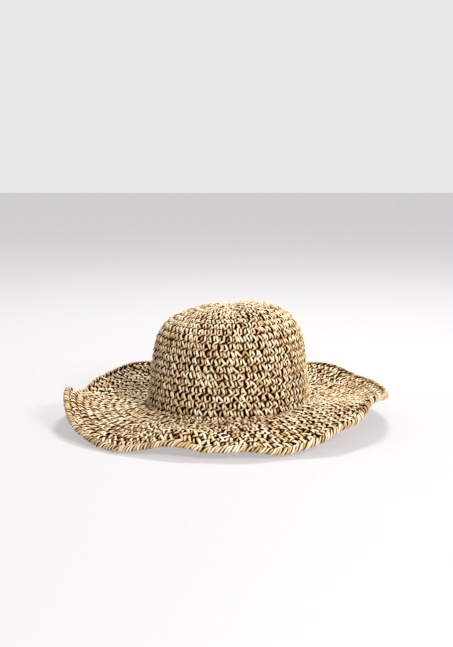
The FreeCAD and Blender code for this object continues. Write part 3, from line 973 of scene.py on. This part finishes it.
def drawstring_piece(material):
    """Cord of three plies twisted together."""
    path = cord_path()
    count = int(length_of(path) / (0.75 * MM))
    path = resample(path, count)
    forward = unit(np.gradient(path, axis=0))
    side = unit(np.cross(forward, [0.0, 0.35, 1.0]))
    above = np.cross(side, forward)
    place = np.linspace(0.0, length_of(path), count)
    yarn = Yarn()
    for ply in range(3):
        spin = place / (6.5 * MM) * TURN + ply * TURN / 3
        arm = side * np.cos(spin)[:, None] + above * np.sin(spin)[:, None]
        size = np.full((1, count), 0.47 * MM)
        yarn.add((path + arm * 0.42 * MM)[None], arm[None], size, size, 8, 0.5, 0.6)
    return yarn.build("drawstring_cord", material)


def spring_piece(material):
    """Coil spring with its last turns closed up flat."""
    low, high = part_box("lock_spring")
    wire = 0.3 * MM
    coil = (high[1] - low[1]) / 2.0 - wire
    middle = ((low[1] + high[1]) / 2.0, (low[2] + high[2]) / 2.0)
    turns, count = 6.5, 260
    share = np.linspace(0.0, 1.0, count)
    closed = 0.85 / turns
    travel = np.interp(share, [0.0, closed, 1.0 - closed, 1.0], [0.0, 0.07, 0.93, 1.0])
    x = low[0] + wire + (high[0] - low[0] - 2.0 * wire) * travel
    spin = share * turns * TURN
    arm = np.stack([np.zeros(count), np.cos(spin), np.sin(spin)], 1)
    centre = np.stack([x, np.full(count, middle[0]), np.full(count, middle[1])], 1) + arm * coil
    size = np.full((1, count), wire)
    yarn = Yarn()
    yarn.add(centre[None], arm[None], size, size, 8, 0.5)
    return yarn.build("spring_coil", material), float(low[0])


# ---- Putting the hat together ------------------------------------------------------------------
def bend_with_fold(piece):
    """The piece's placement is baked into its mesh."""
    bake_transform(piece)


def stand_for(piece, slot, *nodes):
    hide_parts(*nodes)


def make_crown(sheet, rounds, straw):
    wall = rounds[TIP_ROUNDS : sheet.crown_rounds]
    parts = [rounds[:TIP_ROUNDS]]
    parts += [wall[i : i + PIECE_ROUNDS] for i in range(0, len(wall), PIECE_ROUNDS)]
    for i, part in enumerate(parts):
        piece = fabric_piece(f"crown_fabric_{i}", sheet, part, straw)
        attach(piece, "crown")
        stand_for(piece, "straw", "crown_tip" if i == 0 else "crown_wall")


def make_brim(sheet, rounds, straw, edging, steel):
    brim = rounds[sheet.crown_rounds :]
    for side in ("front", "back"):
        front = side == "front"
        for i in range(0, len(brim), PIECE_ROUNDS):
            name = f"brim_fabric_{side}_{i // PIECE_ROUNDS}"
            piece = fabric_piece(name, sheet, brim[i : i + PIECE_ROUNDS], straw, front)
            bend_with_fold(piece)
            stand_for(piece, "straw", f"brim_{side}", "brim_centre")
        cord = edging_piece(f"edging_cord_{side}", sheet, edging, front)
        bend_with_fold(cord)
        stand_for(cord, "straw_edging", f"edging_{side}", "edging_left", "edging_right")
        wire = wire_piece(f"shaping_wire_{side}", sheet, steel, front)
        bend_with_fold(wire)
        stand_for(wire, "edge_wire", f"edge_wire_{side}", "edge_wire_left", "edge_wire_right")


def make_band():
    thread = thread_material("thread", (226, 214, 186))
    band, topstitch = sweatband_piece(woven_material("band_cotton", (222, 207, 176), 0.55, 0.6), thread)
    tape = seam_tape_piece(woven_material("band_tape", (232, 224, 204), 0.8, 0.25))
    hem = hem_stitch_piece(thread)
    cord = drawstring_piece(thread_material("cord", (196, 168, 122), 0.75))
    standing = [
        (band, "sweatband", "band_cotton"),
        (topstitch, "sweatband", "thread"),
        (tape, "sweatband_seam_tape", "band_tape"),
        (hem, "sweatband_stitching", "thread"),
        (cord, "drawstring", "cord"),
    ]
    for piece, node, slot in standing:
        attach(piece, "crown")
        stand_for(piece, slot, node)
    spring, anchor = spring_piece(metal_material("spring_steel", (196, 196, 198), 0.22, 900.0))
    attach(spring, "cord_lock")
    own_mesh(spring)
    stand_for(spring, "spring_steel", "lock_spring")


def paint_frame():
    """Materials for the hard parts that keep their CAD shape."""
    plastic = moulded_material("lock_plastic", (150, 116, 74))
    button = moulded_material("lock_plastic_button", (128, 97, 61), 0.36)
    ferrule = metal_material("ferrule", (208, 208, 210), 0.3, 700.0)
    paints = {"lock_body": plastic, "cord_stopper": plastic, "lock_plunger": button, "wire_ferrule": ferrule}
    for name, paint in paints.items():
        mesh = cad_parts[name].data
        mesh.materials.clear()
        mesh.materials.append(paint)


# ---- Floor, light and camera -------------------------------------------------------------------
def make_floor():
    edges = [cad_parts[name].data for name in ("edging_front", "edging_back")]
    lowest = min(v.co.z for mesh in edges for v in mesh.vertices)
    n = Nodes("floor")
    n.set(Base_Color=(0.32, 0.325, 0.33, 1.0), Roughness=0.8, Specular_IOR_Level=0.1)
    n.set(Emission_Color=(1.0, 0.955, 0.95, 1.0), Emission_Strength=0.46)
    bpy.ops.mesh.primitive_plane_add(size=12.0, location=(0, 0, lowest - 0.0005))
    floor = bpy.context.object
    floor.name = "floor"
    floor.data.materials.append(n.material)


def area_light(name, place, size, power):
    light = bpy.data.lights.new(name, "AREA")
    light.shape = "DISK"
    light.size = size
    light.energy = power
    light.color = (1.0, 0.98, 0.95)
    lamp = placed(name, light)
    lamp.location = place
    lamp.rotation_euler = (Vector((0, 0, 0.03)) - Vector(place)).to_track_quat("-Z", "Y").to_euler()


def make_light():
    world = bpy.data.worlds.new("soft")
    world.use_nodes = True
    nodes, links = world.node_tree.nodes, world.node_tree.links
    lit = nodes["Background"]
    lit.inputs["Color"].default_value = (0.93, 0.95, 1.0, 1.0)
    lit.inputs["Strength"].default_value = 0.50
    seen = nodes.new("ShaderNodeBackground")
    seen.inputs["Color"].default_value = (0.80, 0.80, 0.80, 1.0)
    mix = nodes.new("ShaderNodeMixShader")
    rays = nodes.new("ShaderNodeLightPath")
    links.new(rays.outputs["Is Camera Ray"], mix.inputs["Fac"])
    links.new(lit.outputs["Background"], mix.inputs[1])
    links.new(seen.outputs["Background"], mix.inputs[2])
    links.new(mix.outputs["Shader"], nodes["World Output"].inputs["Surface"])
    bpy.context.scene.world = world
    area_light("key", (0.25, 0.85, 1.6), 0.42, 28.5)
    area_light("fill", (1.0, -1.7, 1.0), 0.45, 42.0)


def make_camera():
    distance, elevation = 1.5, math.radians(12.5)
    data = bpy.data.cameras.new("camera")
    data.lens = 67.3
    data.sensor_width = 36.0
    data.shift_x = -0.0039
    data.shift_y = 0.1229
    camera = placed("camera", data)
    camera.location = (0, -distance * math.cos(elevation), distance * math.sin(elevation))
    camera.rotation_euler = (math.pi / 2 - elevation, 0, 0)
    bpy.context.scene.camera = camera
    bpy.context.scene.view_settings.view_transform = "Standard"


sheet = Sheet()
rounds = make_rounds(sheet)
straw = straw_material("straw")
make_crown(sheet, rounds, straw)
edging_straw = straw_material("straw_edging", 0.96)
steel = metal_material("edge_wire", (190, 188, 182), 0.28, 800.0)
make_brim(sheet, rounds, straw, edging_straw, steel)
make_band()
paint_frame()
make_floor()
make_light()
make_camera()
